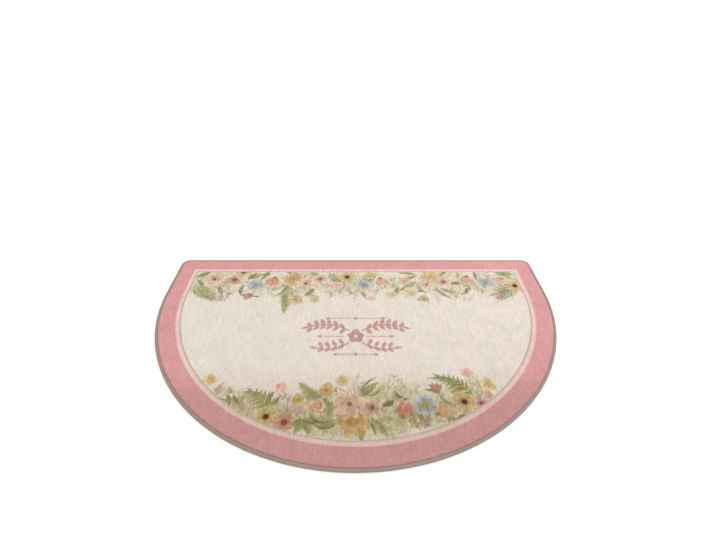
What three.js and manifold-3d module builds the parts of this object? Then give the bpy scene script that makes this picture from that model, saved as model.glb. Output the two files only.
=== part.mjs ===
// Half-round plush rug: one flat plush piece whose cut edge is wrapped in an overlocked yarn roll.
// Millimetres, +Z up. The origin is on the floor, midway between the straight edge and the curve's end.
// +X runs along the straight edge, and +Y points from the curve towards the straight edge.
import * as THREE from 'three';
import { mergeVertices } from 'three/addons/utils/BufferGeometryUtils.js';
import Module from 'manifold-3d';

// Plan of the rug, measured over the edge roll
const WIDTH = 1600;
const SIDE_LENGTH = 230;
const CURVE_DEPTH = 770;
const CORNER_RADIUS = 35;

// Heights above the floor
const PILE_TOP = 9;
const ROLL_TOP = 7;
const SELVEDGE_BOTTOM = 2.2;
const SELVEDGE_TOP = 4.4;

// Edge roll: its width across, and the yarn that lies outside the wrapped selvedge
const ROLL_WIDTH = 11;
const ROLL_WRAP = 2.5;

// Soft rounding of the pile's rim and of the roll
const PILE_ROUND_ACROSS = 3.2;
const PILE_ROUND_DOWN = 3.6;
const ROLL_ROUND = 2.4;

// Room between the two pieces, and the fineness of their curves
const GAP = 0.3;
const CURVE_STEPS = 90;
const CORNER_STEPS = 6;
const ROUND_STEPS = 4;

const DEPTH = SIDE_LENGTH + CURVE_DEPTH;
const STRAIGHT_EDGE_Y = DEPTH / 2;
const CURVE_START_Y = STRAIGHT_EDGE_Y - SIDE_LENGTH;

const manifold = await Module();
manifold.setup();

// Points along part of an ellipse, from one angle to another
function arcPoints(x, y, radiusX, radiusY, fromAngle, toAngle, steps) {
  const arc = new THREE.EllipseCurve(x, y, radiusX, radiusY, fromAngle, toAngle);
  return arc.getPoints(steps);
}

// The half-round outline, moved inwards by the given inset
function halfRoundPoints(inset) {
  const halfWidth = WIDTH / 2 - inset;
  const curveDepth = CURVE_DEPTH - inset;
  const radius = CORNER_RADIUS - inset;
  const cornerX = halfWidth - radius;
  const cornerY = STRAIGHT_EDGE_Y - inset - radius;
  return [
    ...arcPoints(0, CURVE_START_Y, halfWidth, curveDepth, Math.PI, 2 * Math.PI, CURVE_STEPS),
    ...arcPoints(cornerX, cornerY, radius, radius, 0, Math.PI / 2, CORNER_STEPS),
    ...arcPoints(-cornerX, cornerY, radius, radius, Math.PI / 2, Math.PI, CORNER_STEPS),
  ];
}

// A flat slab of the half-round outline between two heights, with square edges
function slab(inset, bottom, top) {
  const shape = new THREE.Shape(halfRoundPoints(inset));
  const geometry = new THREE.ExtrudeGeometry(shape, { depth: top - bottom, bevelEnabled: false });
  geometry.translate(0, 0, bottom);
  return geometry;
}

// A slab whose rims are rounded above and below, with an outline cut out of its middle where one is given
function roundedSlab(inset, holeInset, bottom, top, across, down) {
  const shape = new THREE.Shape(halfRoundPoints(inset));
  if (holeInset !== null) {
    shape.holes.push(new THREE.Path(halfRoundPoints(holeInset)));
  }
  const geometry = new THREE.ExtrudeGeometry(shape, {
    depth: top - bottom - 2 * down,
    bevelSize: across,
    bevelOffset: -across,
    bevelThickness: down,
    bevelSegments: ROUND_STEPS,
  });
  geometry.translate(0, 0, bottom + down);
  return geometry;
}

// A closed three.js geometry as a solid that can be joined and cut
function toSolid(geometry) {
  const bare = geometry.clone();
  bare.deleteAttribute('normal');
  bare.deleteAttribute('uv');
  const merged = mergeVertices(bare, 0.001);
  return new manifold.Manifold(
    new manifold.Mesh({
      numProp: 3,
      vertProperties: new Float32Array(merged.attributes.position.array),
      triVerts: new Uint32Array(merged.index.array),
    }),
  );
}

// A solid back as a three.js geometry
function toGeometry(solid) {
  const mesh = solid.getMesh();
  const geometry = new THREE.BufferGeometry();
  geometry.setAttribute('position', new THREE.BufferAttribute(mesh.vertProperties, 3));
  geometry.setIndex(new THREE.BufferAttribute(mesh.triVerts, 1));
  geometry.computeVertexNormals();
  return geometry;
}

function namedMesh(name, geometry, color, roughness) {
  const material = new THREE.MeshStandardMaterial({ color, roughness, metalness: 0 });
  const mesh = new THREE.Mesh(geometry, material);
  mesh.name = name;
  return mesh;
}

// Printed plush with its backing: a thick slab, and a thin selvedge that reaches into the edge roll
function rugBody() {
  const pileInset = ROLL_WIDTH + GAP;
  const mirroredBottom = -2 * PILE_ROUND_DOWN;
  const rounded = roundedSlab(pileInset, null, mirroredBottom, PILE_TOP, PILE_ROUND_ACROSS, PILE_ROUND_DOWN);
  const underFloor = slab(0, 2 * mirroredBottom, 0);
  const pile = toSolid(rounded).subtract(toSolid(underFloor));
  const selvedge = toSolid(slab(ROLL_WRAP + GAP, SELVEDGE_BOTTOM, SELVEDGE_TOP));
  return namedMesh('rug_body', toGeometry(pile.add(selvedge)), 0xe9dccf, 0.95);
}

// Overlocked yarn roll along the whole edge, open inwards where it takes the selvedge
function edgeRoll() {
  const roll = toSolid(roundedSlab(0, ROLL_WIDTH, 0, ROLL_TOP, ROLL_ROUND, ROLL_ROUND));
  const selvedgeRoom = toSolid(slab(ROLL_WRAP, SELVEDGE_BOTTOM - GAP, SELVEDGE_TOP + GAP));
  return namedMesh('edge_roll', toGeometry(roll.subtract(selvedgeRoom)), 0xbfae9c, 0.85);
}

const group = new THREE.Group();
group.add(rugBody(), edgeRoll());

export default group;
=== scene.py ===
"""Half-round plush rug: short printed pile on a backing, with an overlocked edge, lying flat on a floor.

Lengths are in metres, apart from the print, which is drawn in centimetres. +X runs along the
straight edge, +Y points from the curve to the straight edge, and the floor is at Z = 0.
"""
import logging
import math
from dataclasses import dataclass
from enum import Enum
from typing import Any, Iterator, Sequence

import bpy
import numpy as np
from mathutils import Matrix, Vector
from mathutils.geometry import delaunay_2d_cdt


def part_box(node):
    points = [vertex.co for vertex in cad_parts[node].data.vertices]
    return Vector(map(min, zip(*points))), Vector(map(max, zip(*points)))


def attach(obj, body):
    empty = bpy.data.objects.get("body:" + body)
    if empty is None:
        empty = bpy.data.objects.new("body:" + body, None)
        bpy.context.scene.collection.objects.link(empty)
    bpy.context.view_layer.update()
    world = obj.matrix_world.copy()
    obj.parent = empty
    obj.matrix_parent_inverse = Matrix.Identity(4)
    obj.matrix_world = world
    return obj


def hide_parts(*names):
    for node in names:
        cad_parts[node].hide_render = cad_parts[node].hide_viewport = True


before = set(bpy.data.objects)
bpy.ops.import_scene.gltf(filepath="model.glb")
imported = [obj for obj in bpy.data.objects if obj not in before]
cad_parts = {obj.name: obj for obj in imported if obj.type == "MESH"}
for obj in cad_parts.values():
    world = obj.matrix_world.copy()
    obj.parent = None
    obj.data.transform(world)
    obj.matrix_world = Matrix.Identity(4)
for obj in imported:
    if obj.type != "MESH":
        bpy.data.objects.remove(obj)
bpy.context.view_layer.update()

LOG = logging.getLogger("rug")
SEED = 17
CM = 0.01
BAKE_MAP = "OFBake"
DYE_LAYER = "print_dye"
TONE_LAYER = "tuft_tone"
# where each vertex stands on a ramp of painted shade: 0 darkest, 1 lightest
PAINTED_SHADE_LAYER = "painted_shade_ramp"

Array = np.ndarray
Point = tuple[float, float]


# Small helpers for numbers

def smooth(low: float, high: float, value: Array) -> Array:
    """Rises softly from 0 to 1.

    Args:
        low: where the rise starts.
        high: where it ends.
        value: the numbers to map.

    Returns:
        The mapped numbers, from 0 to 1.
    """
    share = np.clip((value - low) / (high - low), 0.0, 1.0)
    return share * share * (3.0 - 2.0 * share)


def lattice_noise(x: Array, y: Array, cell_x: float, cell_y: float, rng: np.random.Generator) -> Array:
    """Soft random relief over the plan.

    Args:
        x: places along the straight edge.
        y: places across it.
        cell_x: size of the relief along X.
        cell_y: size of the relief along Y.
        rng: the seeded source of chance.

    Returns:
        A number from -1 to 1 at each place.
    """
    across = (x - x.min()) / cell_x
    along = (y - y.min()) / cell_y
    column = np.floor(across).astype(int)
    row = np.floor(along).astype(int)
    table = rng.uniform(-1.0, 1.0, (column.max() + 2, row.max() + 2))
    fx = smooth(0.0, 1.0, across - column)
    fy = smooth(0.0, 1.0, along - row)
    near = table[column, row] * (1 - fx) + table[column + 1, row] * fx
    far = table[column, row + 1] * (1 - fx) + table[column + 1, row + 1] * fx
    return near * (1 - fy) + far * fy


def distance_to_path(x: Array, y: Array, path: Sequence[Point]) -> Array:
    """Distance from each place to a broken line.

    Args:
        x: places along the straight edge.
        y: places across it.
        path: the line's corners.

    Returns:
        The distance of each place from the nearest stretch.
    """
    nearest = np.full(x.shape, np.inf)
    for (x0, y0), (x1, y1) in zip(path[:-1], path[1:]):
        dx = x1 - x0
        dy = y1 - y0
        share = np.clip(((x - x0) * dx + (y - y0) * dy) / (dx * dx + dy * dy), 0.0, 1.0)
        nearest = np.minimum(nearest, np.hypot(x - x0 - share * dx, y - y0 - share * dy))
    return nearest


def bowed_path(start: Point, end: Point, bow: float, steps: int = 14) -> list[Point]:
    """A softly bowed line.

    Args:
        start: its first point.
        end: its last point.
        bow: how far its middle lies to the left of the straight way.
        steps: stretches along it.

    Returns:
        The points of the line.
    """
    dx = end[0] - start[0]
    dy = end[1] - start[1]
    length = math.hypot(dx, dy)
    path = []
    for i in range(steps + 1):
        t = i / steps
        side = 4.0 * bow * t * (1.0 - t) / length
        path.append((start[0] + dx * t - dy * side, start[1] + dy * t + dx * side))
    return path


def ahead(start: Point, length: float, turn: float) -> Point:
    """The point that lies a length away from another, in a direction given in degrees."""
    way = math.radians(turn)
    return start[0] + length * math.cos(way), start[1] + length * math.sin(way)


def raw_mesh(name: str, places: Array, faces: Sequence[Array]) -> bpy.types.Mesh:
    """A mesh from arrays.

    Args:
        name: the mesh's name.
        places: the vertices, one row each.
        faces: arrays of faces, each with as many columns as its faces have corners.

    Returns:
        The mesh, shaded smooth.
    """
    mesh = bpy.data.meshes.new(name)
    corners = np.concatenate([f.ravel() for f in faces])
    counts = np.concatenate([np.full(len(f), f.shape[1]) for f in faces])
    starts = np.concatenate([[0], np.cumsum(counts)[:-1]])
    mesh.vertices.add(len(places))
    mesh.vertices.foreach_set("co", places.astype(np.float32).ravel())
    mesh.loops.add(len(corners))
    mesh.loops.foreach_set("vertex_index", corners.astype(np.int32))
    mesh.polygons.add(len(counts))
    mesh.polygons.foreach_set("loop_start", starts.astype(np.int32))
    mesh.update(calc_edges=True)
    mesh.shade_smooth()
    return mesh


def corner_vertices(mesh: bpy.types.Mesh) -> Array:
    """The vertex at each corner of a mesh's faces.

    Args:
        mesh: the mesh to read.

    Returns:
        The vertices' numbers.
    """
    found = np.empty(len(mesh.loops), np.int32)
    mesh.loops.foreach_get("vertex_index", found)
    return found


def lay_map(mesh: bpy.types.Mesh, corners: Array) -> None:
    """Gives the mesh its map for flat pictures.

    Args:
        mesh: the mesh to map.
        corners: a row of two numbers from 0 to 1 for each corner.
    """
    layer = mesh.uv_layers.new(name=BAKE_MAP)
    layer.uv.foreach_set("vector", corners.astype(np.float32).ravel())


def dye_layer(mesh: bpy.types.Mesh, colours: Array) -> None:
    """Stores the print's colour at each vertex.

    Args:
        mesh: the mesh to colour.
        colours: a row of red, green and blue for each vertex.
    """
    layer = mesh.color_attributes.new(name=DYE_LAYER, type="FLOAT_COLOR", domain="POINT")
    rows = np.concatenate([colours, np.ones((len(colours), 1))], axis=1)
    layer.data.foreach_set("color", rows.astype(np.float32).ravel())


def number_layer(mesh: bpy.types.Mesh, name: str, values: Array) -> None:
    """Stores a number at each vertex.

    Args:
        mesh: the mesh to write to.
        name: the layer's name.
        values: one number for each vertex.
    """
    layer = mesh.attributes.new(name=name, type="FLOAT", domain="POINT")
    layer.data.foreach_set("value", values.astype(np.float32))


def add_object(mesh: bpy.types.Mesh) -> bpy.types.Object:
    """Puts a mesh in the scene.

    Args:
        mesh: the mesh, whose name the object takes.

    Returns:
        The new object.
    """
    made = bpy.data.objects.new(mesh.name, mesh)
    bpy.context.scene.collection.objects.link(made)
    return made


# The rug's plan

@dataclass(frozen=True)
class HalfRound:
    """Plan of the rug: a straight edge, two short straight sides and one long curve."""

    width: float
    depth: float
    side_length: float = 0.230
    corner_radius: float = 0.035
    outline_step: float = 0.0005

    @property
    def straight_edge(self) -> float:
        """Where the straight edge lies along Y."""
        return self.depth / 2

    @property
    def curve_start(self) -> float:
        """Where the straight sides end along Y."""
        return self.straight_edge - self.side_length

    @property
    def curve_depth(self) -> float:
        """How far the curve reaches out."""
        return self.depth - self.side_length

    def outline(self) -> Array:
        """The outline's points, anticlockwise from the left end of the curve."""
        half = self.width / 2
        radius = self.corner_radius
        top = self.straight_edge

        def arc(x: float, y: float, rx: float, ry: float, start: float, end: float) -> Array:
            """Points along part of an ellipse, without the last.

            Args:
                x: the middle along X.
                y: the middle along Y.
                rx: the reach along X.
                ry: the reach along Y.
                start: the first angle.
                end: the last angle.

            Returns:
                The points, one row each.
            """
            steps = int(max(rx, ry) * (end - start) / self.outline_step)
            angle = np.linspace(start, end, steps, endpoint=False)
            return np.stack([x + rx * np.cos(angle), y + ry * np.sin(angle)], axis=1)

        def line(start: Point, end: Point) -> Array:
            """Points along a straight stretch, without the last.

            Args:
                start: its first point.
                end: its last point.

            Returns:
                The points, one row each.
            """
            steps = int(math.dist(start, end) / self.outline_step)
            return np.linspace(start, end, steps, endpoint=False)

        return np.concatenate([
            arc(0.0, self.curve_start, half, self.curve_depth, math.pi, 2 * math.pi),
            line((half, self.curve_start), (half, top - radius)),
            arc(half - radius, top - radius, radius, radius, 0.0, math.pi / 2),
            line((half - radius, top), (radius - half, top)),
            arc(radius - half, top - radius, radius, radius, math.pi / 2, math.pi),
            line((-half, top - radius), (-half, self.curve_start)),
        ])

    def stations(self, count: int) -> tuple[Array, Array, float]:
        """Evenly spaced places round the outline.

        Args:
            count: how many.

        Returns:
            The places, the outward directions there, and the outline's length.
        """
        points = self.outline()
        closed = np.concatenate([points, points[:1]])
        run = np.concatenate([[0.0], np.cumsum(np.hypot(*np.diff(closed, axis=0).T))])
        tangent = np.roll(points, -4, axis=0) - np.roll(points, 4, axis=0)
        outward = np.stack([tangent[:, 1], -tangent[:, 0]], axis=1)
        outward /= np.linalg.norm(outward, axis=1, keepdims=True)
        outward = np.concatenate([outward, outward[:1]])
        at = np.linspace(0.0, run[-1], count, endpoint=False)
        places = np.stack([np.interp(at, run, closed[:, i]) for i in range(2)], axis=1)
        ways = np.stack([np.interp(at, run, outward[:, i]) for i in range(2)], axis=1)
        return places, ways / np.linalg.norm(ways, axis=1, keepdims=True), float(run[-1])

    def inset_of(self, x: Array, y: Array) -> Array:
        """How far inside the outline each place lies.

        Args:
            x: places along the straight edge.
            y: places across it.

        Returns:
            The distance to the nearest edge, negative outside.
        """
        half = self.width / 2
        below = np.maximum(self.curve_start - y, 0.0)
        side = half - np.abs(x)
        curve = side.copy()
        lower = below > 0
        curve[lower] = self._curve_inset(np.abs(x[lower]), below[lower])
        inset = np.minimum(curve, self.straight_edge - y)
        radius = self.corner_radius
        from_side = radius - side
        from_top = radius - (self.straight_edge - y)
        corner = (from_side > 0) & (from_top > 0)
        inset[corner] = radius - np.hypot(from_side[corner], from_top[corner])
        return inset

    def outward_at(self, x: Array, y: Array) -> Array:
        """The way from each place to the nearest edge, as a row of two numbers.

        Args:
            x: places along the straight edge.
            y: places across it.

        Returns:
            The directions, one row each.
        """
        step = 0.001
        slope_x = self.inset_of(x + step, y) - self.inset_of(x - step, y)
        slope_y = self.inset_of(x, y + step) - self.inset_of(x, y - step)
        return -np.stack([slope_x, slope_y], axis=1) / (2 * step)

    def _curve_inset(self, across: Array, below: Array) -> Array:
        """Distance inside the curve, by Newton's steps on the shrinking ellipse.

        Args:
            across: places' distances from the middle line.
            below: their distances past the straight sides.

        Returns:
            The distances.
        """
        shallow = min(self.width / 2, self.curve_depth)
        share = np.hypot(across / (self.width / 2), below / self.curve_depth)
        inset = np.clip((1.0 - share) * shallow, None, 0.95 * shallow)
        for _ in range(6):
            rx = self.width / 2 - inset
            ry = self.curve_depth - inset
            error = (across / rx) ** 2 + (below / ry) ** 2 - 1.0
            slope = 2.0 * across**2 / rx**3 + 2.0 * below**2 / ry**3
            inset = np.minimum(inset - error / np.maximum(slope, 1e-6), 0.97 * shallow)
        return inset

    def fill(self, rim: Array, pitch: float) -> tuple[Array, Array]:
        """Triangles that fill a closed rim, with evenly spread places inside it.

        Args:
            rim: the rim's places, anticlockwise.
            pitch: the spacing inside.

        Returns:
            The places, the rim's own first, and the triangles.
        """
        low = rim.min(axis=0)
        high = rim.max(axis=0)
        columns = np.arange(low[0], high[0], pitch)
        rows = np.arange(low[1], high[1], pitch * math.sqrt(0.75))
        grid_x, grid_y = np.meshgrid(columns, rows)
        grid_x = grid_x + (np.arange(len(rows)) % 2)[:, None] * pitch / 2
        x = grid_x.ravel()
        y = grid_y.ravel()
        edge = float(self.inset_of(rim[:, 0], rim[:, 1]).mean())
        inside = self.inset_of(x, y) > edge + 0.6 * pitch
        inner = np.stack([x[inside], y[inside]], axis=1)
        wanted = [Vector(p) for p in np.concatenate([rim, inner])]
        made = delaunay_2d_cdt(wanted, [], [list(range(len(rim)))], 1, 1e-7)
        places = np.array([tuple(p) for p in made[0]])
        return places, np.array(made[2], dtype=np.int64)


# Colours of the print, and of the painted shade laid over it

class Dye(Enum):
    """Named dyes, and a few colours of painted shade, each as the red, green and blue that the eye sees, out
    of 255.
    """

    CREAM = (240, 231, 221)
    DUSTY_PINK = (228, 171, 172)
    # the border's pink in painted shade, laid towards the front of the curve
    PINK_IN_PAINTED_SHADE = (212, 160, 157)
    PALE_PINK = (243, 216, 207)
    # the pale stripe's pink in painted shade, laid towards the front of the curve
    PALE_PINK_IN_PAINTED_SHADE = (229, 203, 190)
    LINE_TAUPE = (198, 184, 165)
    # painted shade for the groove between the pile and the edge roll
    GROOVE_PAINTED_SHADE = (166, 122, 108)
    ORNAMENT_ROSE = (213, 168, 161)
    LEAF_DARK = (138, 132, 86)
    LEAF_MID = (166, 160, 106)
    LEAF_LIGHT = (194, 190, 134)
    LEAF_GREY = (148, 144, 116)
    FRESH_GREEN = (172, 176, 96)
    MIST_GREEN = (208, 206, 164)
    WASH_GREEN = (214, 205, 171)
    WASH_PALE = (231, 223, 198)
    WASH_GOLD = (226, 206, 166)
    STRAW = (228, 208, 156)
    STRAW_LIGHT = (238, 224, 180)
    GOLD = (222, 186, 112)
    AMBER = (228, 192, 132)
    OCHRE = (192, 152, 88)
    UMBER = (158, 116, 84)
    PEACH = (228, 188, 154)
    PEACH_LIGHT = (240, 214, 188)
    CORAL = (220, 158, 130)
    CORAL_DEEP = (200, 128, 104)
    ROSE = (230, 184, 178)
    ROSE_LIGHT = (242, 210, 202)
    ROSE_DEEP = (206, 146, 138)
    WINE = (158, 84, 62)
    COCOA = (92, 44, 20)
    MAUVE = (228, 203, 195)
    MAUVE_DEEP = (204, 172, 164)
    SKY = (184, 190, 190)
    SKY_LIGHT = (208, 213, 210)
    SLATE = (148, 154, 148)
    BERRY = (206, 158, 128)

    @property
    def rgb(self) -> Array:
        """The dye as the linear colour that light is worked out with."""
        share = np.array(self.value) / 255.0
        return np.where(share <= 0.04045, share / 12.92, ((share + 0.055) / 1.055) ** 2.4)


class Tones(Enum):
    """Pairs of dyes for a leaf's lighter and darker half."""

    OLIVE = (Dye.LEAF_MID, Dye.LEAF_DARK)
    WILLOW = (Dye.LEAF_LIGHT, Dye.LEAF_DARK)
    LIGHT = (Dye.LEAF_LIGHT, Dye.LEAF_MID)
    SAGE = (Dye.LEAF_MID, Dye.LEAF_GREY)
    SPRING = (Dye.FRESH_GREEN, Dye.LEAF_MID)
    FRESH = (Dye.FRESH_GREEN, Dye.FRESH_GREEN)
    MOSS = (Dye.FRESH_GREEN, Dye.LEAF_DARK)
    DARK = (Dye.LEAF_DARK, Dye.LEAF_DARK)
    GREY = (Dye.LEAF_GREY, Dye.LEAF_DARK)
    DUSK = (Dye.LEAF_DARK, Dye.LEAF_GREY)


def mixed(first: Dye, second: Dye, share: Array) -> Array:
    """A row of linear colour for each share, from the first dye at 0 to the second at 1."""
    return first.rgb + share[:, None] * (second.rgb - first.rgb)


# The print, in centimetres

BLEED = 0.20


def inside(depth: Array) -> Array:
    """How much of a place a figure covers, from its depth inside the figure's edge."""
    return smooth(-BLEED, BLEED, depth)


@dataclass
class Spots:
    """Places on the pile that take the print, sorted along X."""

    x: Array
    y: Array
    rgb: Array

    def around(self, x: float, y: float, reach: float, turn: float = 0.0) -> tuple[Array, Array, Array]:
        """The spots near a point.

        Args:
            x: the point along the straight edge.
            y: the point across it.
            reach: how far to look.
            turn: the figure's turn in degrees, anticlockwise.

        Returns:
            The spots' numbers, and their places along and across the turned figure.
        """
        first, last = np.searchsorted(self.x, [x - reach, x + reach])
        near = first + np.flatnonzero(np.abs(self.y[first:last] - y) < reach)
        dx = self.x[near] - x
        dy = self.y[near] - y
        c = math.cos(math.radians(turn))
        s = math.sin(math.radians(turn))
        return near, dx * c + dy * s, dy * c - dx * s

    def dye(self, near: Array, cover: Array, colour: Array) -> None:
        """Lays a colour over some spots.

        Args:
            near: the spots' numbers.
            cover: how much of each is covered, from 0 to 1.
            colour: one linear colour, or one for each spot.
        """
        self.rgb[near] += cover[:, None] * (colour - self.rgb[near])


@dataclass(frozen=True)
class Petals:
    """How one kind of open flower is drawn."""

    count: int
    notch: float
    roundness: float
    inner: Dye
    outer: Dye
    heart: Dye
    heart_share: float
    ring: Dye | None = None


class Bloom(Enum):
    """The kinds of open flower in the garlands."""

    BUTTERCUP = Petals(5, 0.26, 2.2, Dye.AMBER, Dye.STRAW_LIGHT, Dye.GOLD, 0.34)
    DAISY = Petals(11, 0.30, 2.2, Dye.GOLD, Dye.STRAW, Dye.COCOA, 0.24, Dye.OCHRE)
    WILD_ROSE = Petals(6, 0.20, 2.4, Dye.CORAL, Dye.PEACH, Dye.WINE, 0.32, Dye.ROSE_DEEP)
    BRIAR = Petals(7, 0.32, 1.9, Dye.BERRY, Dye.ROSE_LIGHT, Dye.UMBER, 0.24, Dye.BERRY)
    ANEMONE = Petals(6, 0.20, 2.4, Dye.SLATE, Dye.SKY_LIGHT, Dye.FRESH_GREEN, 0.32, Dye.SKY)
    CORNFLOWER = Petals(9, 0.34, 2.0, Dye.SLATE, Dye.SKY_LIGHT, Dye.SLATE, 0.22, Dye.SKY)
    LILY = Petals(9, 0.40, 1.7, Dye.PEACH, Dye.PEACH_LIGHT, Dye.UMBER, 0.17, Dye.BERRY)
    MARIGOLD = Petals(11, 0.34, 1.7, Dye.OCHRE, Dye.AMBER, Dye.OCHRE, 0.16, Dye.GOLD)
    OXEYE = Petals(11, 0.34, 1.7, Dye.GOLD, Dye.STRAW, Dye.OCHRE, 0.16, Dye.GOLD)
    PRIMROSE = Petals(6, 0.24, 2.0, Dye.GOLD, Dye.STRAW, Dye.OCHRE, 0.26, Dye.GOLD)
    STAR = Petals(5, 0.46, 1.6, Dye.ROSE_DEEP, Dye.ROSE, Dye.WINE, 0.26)
    VIOLET = Petals(5, 0.30, 1.8, Dye.MAUVE_DEEP, Dye.MAUVE, Dye.STRAW, 0.20)
    STAMPED = Petals(5, 0.30, 1.8, Dye.ORNAMENT_ROSE, Dye.ORNAMENT_ROSE, Dye.CREAM, 0.20)


@dataclass(frozen=True)
class Flower:
    """An open flower seen from above."""

    x: float
    y: float
    radius: float
    bloom: Bloom
    turn: float = 0.0

    def paint(self, spots: Spots) -> None:
        """Prints petals, heart and the ring round it.

        Args:
            spots: the pile's spots, which take the colour.
        """
        look = self.bloom.value
        near, u, v = spots.around(self.x, self.y, 1.25 * self.radius, self.turn)
        r = np.hypot(u, v)
        angle = np.arctan2(v, u)
        width = math.tau / look.count
        number = np.floor(angle / width + 0.5)
        across = np.abs(angle - number * width) / (width / 2)
        uneven = 1.0 + 0.10 * np.sin(2.4 * (number % look.count) + self.x + self.y)
        rim = self.radius * uneven * (1.0 - look.notch * across**look.roundness)
        along = np.clip(r / rim, 0.0, 1.0)
        colour = mixed(look.inner, look.outer, smooth(0.10, 0.90, along))
        veins = 0.5 + 0.5 * np.cos(3 * math.tau * (angle / width - number + 0.5))
        fold = 1.0 - 0.30 * smooth(0.60, 1.0, across) * smooth(0.2, 0.6, along)
        fold -= 0.12 * veins * smooth(0.25, 0.6, along) + 0.06 * (number % 2)
        spots.dye(near, 0.94 * inside(rim - r), colour * fold[:, None])
        heart = look.heart_share * self.radius
        if look.ring is not None:
            stamens = 0.5 + 0.5 * np.cos(3 * look.count * angle)
            spots.dye(near, inside(1.6 * heart - r) * (0.30 + 0.5 * stamens), look.ring.rgb)
        spots.dye(near, inside(heart - r), look.heart.rgb)


@dataclass(frozen=True)
class Rosette:
    """A full flower whose petals wind round its heart."""

    x: float
    y: float
    radius: float
    light: Dye = Dye.ROSE_LIGHT
    dark: Dye = Dye.CORAL
    fold: float = 0.42

    def paint(self, spots: Spots) -> None:
        """Prints the wound petals.

        Args:
            spots: the pile's spots, which take the colour.
        """
        near, u, v = spots.around(self.x, self.y, 1.25 * self.radius)
        r = np.hypot(u, 1.12 * v)
        angle = np.arctan2(v, u)
        rim = self.radius * (1.0 + 0.09 * np.cos(5 * angle + self.x) + 0.05 * np.cos(3 * angle + self.y))
        spiral = math.tau * 1.9 * r / self.radius - 2 * angle + 0.9 * np.sin(3 * angle + self.x)
        wound = 0.5 + 0.5 * np.cos(spiral)
        shade = np.clip(self.fold * smooth(0.30, 0.90, wound) + 0.55 * (1 - r / self.radius), 0, 1)
        spots.dye(near, 0.92 * inside(rim - r), mixed(self.light, self.dark, shade))


@dataclass(frozen=True)
class Cup:
    """A tulip or half-open flower seen from the side. Its turn is the way that it opens."""

    x: float
    y: float
    size: float
    turn: float
    light: Dye = Dye.CORAL
    dark: Dye = Dye.CORAL_DEEP

    def paint(self, spots: Spots) -> None:
        """Prints the cup, its petals' folds and its green foot.

        Args:
            spots: the pile's spots, which take the colour.
        """
        near, u, v = spots.around(self.x, self.y, 1.5 * self.size, self.turn)
        t = (u + self.size) / (2 * self.size)
        half = 0.92 * self.size * np.sin(math.pi * (0.14 + 0.58 * np.clip(t, 0.0, 1.0))) ** 0.8
        lips = 0.80 + 0.20 * np.abs(np.cos(3 * math.pi * v / (2.2 * self.size)))
        cover = inside(half - np.abs(v)) * inside((lips - t) * 2 * self.size) * inside(t * 2 * self.size)
        fold = 0.5 + 0.5 * np.cos(3 * math.tau * v / (2.4 * self.size))
        shade = np.clip(0.45 * fold + 0.5 * (1 - t), 0, 1)
        spots.dye(near, 0.86 * cover, mixed(self.light, self.dark, shade))
        foot = inside(0.26 * self.size - np.hypot(u + 0.95 * self.size, v))
        spots.dye(near, 0.8 * foot, Dye.LEAF_DARK.rgb)


@dataclass(frozen=True)
class Stem:
    """A thin bowed stem between two points."""

    x: float
    y: float
    end_x: float
    end_y: float
    bow: float = 0.0
    width: float = 0.30
    dye: Dye = Dye.LEAF_GREY

    def paint(self, spots: Spots) -> None:
        """Prints the stem.

        Args:
            spots: the pile's spots, which take the colour.
        """
        start = (self.x, self.y)
        end = (self.end_x, self.end_y)
        middle = ((start[0] + end[0]) / 2, (start[1] + end[1]) / 2)
        reach = math.dist(start, end) / 2 + abs(self.bow) + self.width
        near, u, v = spots.around(*middle, reach)
        away = distance_to_path(u + middle[0], v + middle[1], bowed_path(start, end, self.bow))
        spots.dye(near, 0.9 * inside(self.width / 2 - away), self.dye.rgb)


@dataclass(frozen=True)
class Leaf:
    """A pointed leaf from its foot, with a lighter half and a pale rib."""

    x: float
    y: float
    length: float
    turn: float
    width: float = 0.0
    bow: float = 0.0
    light: Dye = Dye.LEAF_LIGHT
    dark: Dye = Dye.LEAF_MID
    strength: float = 0.95

    def paint(self, spots: Spots) -> None:
        """Prints the leaf.

        Args:
            spots: the pile's spots, which take the colour.
        """
        width = self.width or 0.32 * self.length
        near, u, v = spots.around(self.x, self.y, 1.05 * self.length + width, self.turn)
        t = np.clip(u / self.length, 0.0, 1.0)
        v = v - 4.0 * self.bow * t * (1.0 - t)
        half = width / 2 * np.sin(math.pi * t**0.8) ** 0.9
        cover = inside(half - np.abs(v)) * inside(np.minimum(u, self.length - u) + 0.5 * BLEED)
        colour = mixed(self.dark, self.light, smooth(-0.25, 0.25, v / max(width / 2, 0.1)))
        veins = 1.0 - 0.10 * (0.5 + 0.5 * np.cos(7.0 * (u - 0.8 * np.abs(v))))
        spots.dye(near, cover * self.strength, colour * veins[:, None])
        if width > 1.2 and self.light is not self.dark:
            rib = inside(0.08 - np.abs(v)) * smooth(0.0, 0.1, t) * smooth(1.0, 0.8, t)
            spots.dye(near, 0.4 * rib, Dye.MIST_GREEN.rgb)


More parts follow.
